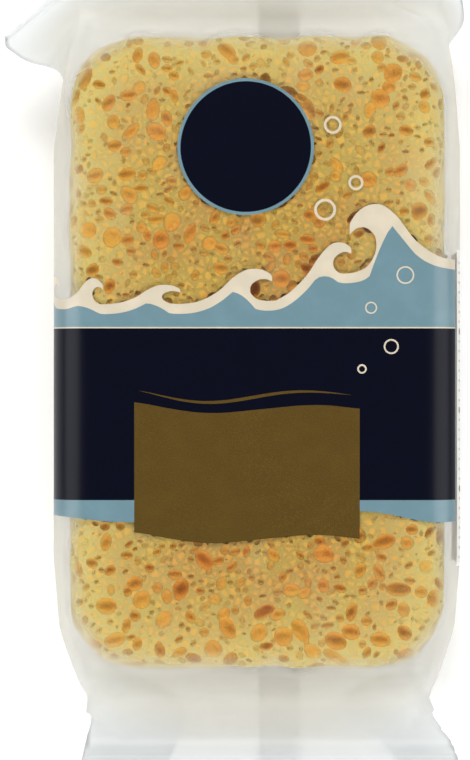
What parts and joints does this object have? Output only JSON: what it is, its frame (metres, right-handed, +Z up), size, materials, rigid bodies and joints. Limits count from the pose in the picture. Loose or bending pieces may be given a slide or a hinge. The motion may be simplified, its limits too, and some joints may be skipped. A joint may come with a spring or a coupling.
{
  "type": "packaged bath sponge",
  "caption": "Rectangular porous bath sponge sealed in frosted printed flow-wrap film, lying on its back with its printed front up.",
  "frame": {"origin": "middle of the whole pack's box, at the height of the table it lies on", "axes": "+X to the pack's right, +Y towards its top end, +Z up out of the printed front"},
  "size_m": [0.1254, 0.22, 0.0441],
  "materials": {
    "foam": "open-cell foam with large rounded pores",
    "film": "thin frosted film, satin, printed on the front"
  },
  "bodies": {
    "root": {"sponge": "foam", "wrapper": "film"}
  },
  "joints": []
}
